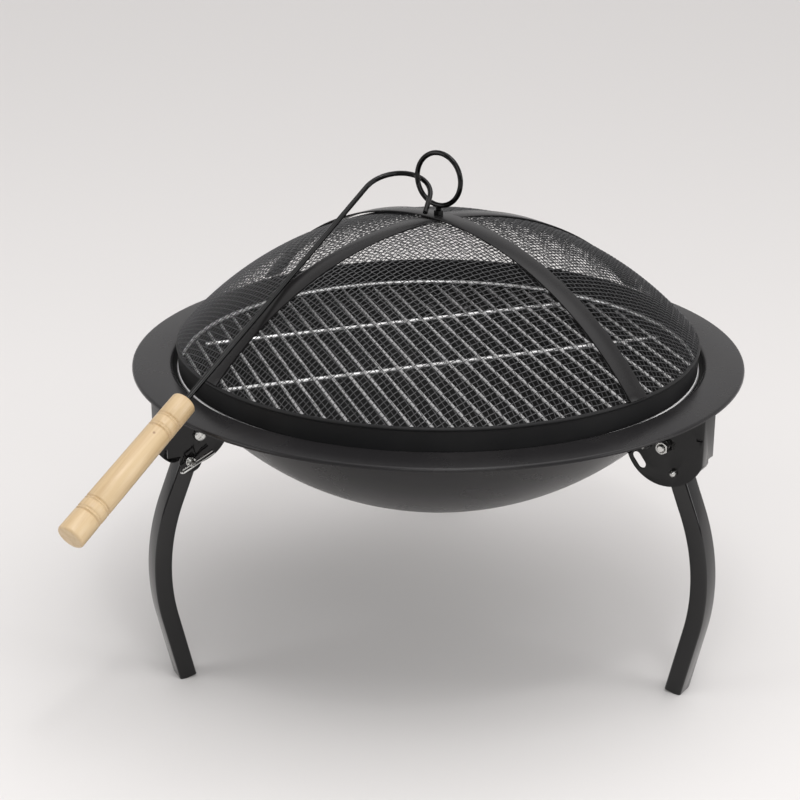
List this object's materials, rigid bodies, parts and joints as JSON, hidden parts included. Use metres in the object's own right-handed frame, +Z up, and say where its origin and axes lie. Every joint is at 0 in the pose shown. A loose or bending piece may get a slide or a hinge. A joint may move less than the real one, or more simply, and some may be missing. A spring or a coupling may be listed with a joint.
{
  "type": "folding fire pit",
  "caption": "Round bowl fire pit on curved folding legs with lock pins, a wire cooking grid, a domed mesh spark lid with a ring handle, and a hooked poker with a wooden grip.",
  "frame": {"origin": "on the floor, below the middle of the bowl", "axes": "+Z up, -Y to the front, +X to the right as seen from the front"},
  "size_m": [0.5534, 0.5841, 0.4455],
  "materials": {
    "black_coat": "satin powder coat",
    "black_gloss": "gloss enamel",
    "zinc": "bright zinc plate",
    "chrome": "polished plate",
    "beech": "clear varnish"
  },
  "bodies": {
    "stand": {"fire_bowl": "black_coat", "bracket_left": "black_coat", "bracket_right": "black_coat", "bracket_rear": "black_coat", "bracket_bolts": "black_coat", "bracket_nuts": "zinc", "pivot_bolts": "zinc", "pivot_washers": "zinc", "pivot_nuts": "zinc"},
    "leg_left": {"leg_left": "black_coat"},
    "leg_right": {"leg_right": "black_coat"},
    "leg_rear": {"leg_rear": "black_coat"},
    "pin_left": {"lock_pin_left": "zinc", "pin_clip_left": "zinc"},
    "pin_right": {"lock_pin_right": "zinc", "pin_clip_right": "zinc"},
    "pin_rear": {"lock_pin_rear": "zinc", "pin_clip_rear": "zinc"},
    "grid": {"grid_ring": "chrome", "grid_rods": "chrome", "grid_bars": "chrome"},
    "lid": {"lid_band": "black_coat", "lid_mesh": "black_coat", "strap_lower": "black_coat", "strap_upper": "black_coat", "ring_handle": "black_gloss", "ring_top_nut": "black_gloss", "ring_washer": "zinc", "ring_bottom_nut": "zinc"},
    "poker": {"poker_rod": "black_gloss", "poker_grip": "beech"}
  },
  "joints": [
    {"name": "leg_left_fold", "type": "hinge", "parent": "stand", "child": "leg_left", "pos_m": [-0.20471, -0.10702, 0.2285], "axis": [0.4633, -0.8862, 0], "range_deg": [0, 66]},
    {"name": "leg_right_fold", "type": "hinge", "parent": "stand", "child": "leg_right", "pos_m": [0.19504, -0.12378, 0.2285], "axis": [0.5358, 0.8443, 0], "range_deg": [0, 66]},
    {"name": "leg_rear_fold", "type": "hinge", "parent": "stand", "child": "leg_rear", "pos_m": [0.00967, 0.2308, 0.2285], "axis": [-0.9991, 0.0419, 0], "range_deg": [0, 66]},
    {"name": "pin_left_pull", "type": "slide", "parent": "stand", "child": "pin_left", "axis": [0.4633, -0.8862, 0], "range_m": [0, 0.045]},
    {"name": "pin_right_pull", "type": "slide", "parent": "stand", "child": "pin_right", "axis": [0.5358, 0.8443, 0], "range_m": [0, 0.045]},
    {"name": "pin_rear_pull", "type": "slide", "parent": "stand", "child": "pin_rear", "axis": [-0.9991, 0.0419, 0], "range_m": [0, 0.045]},
    {"name": "grid_lift", "type": "slide", "parent": "stand", "child": "grid", "axis": [0, 0, 1], "range_m": [0, 0.12]},
    {"name": "lid_lift", "type": "slide", "parent": "grid", "child": "lid", "axis": [0, 0, 1], "range_m": [0, 0.2]},
    {"name": "poker_lift", "type": "hinge", "parent": "lid", "child": "poker", "pos_m": [0, 0, 0.40014], "axis": [-0.8339, 0.5519, 0], "range_deg": [0, 30]}
  ]
}
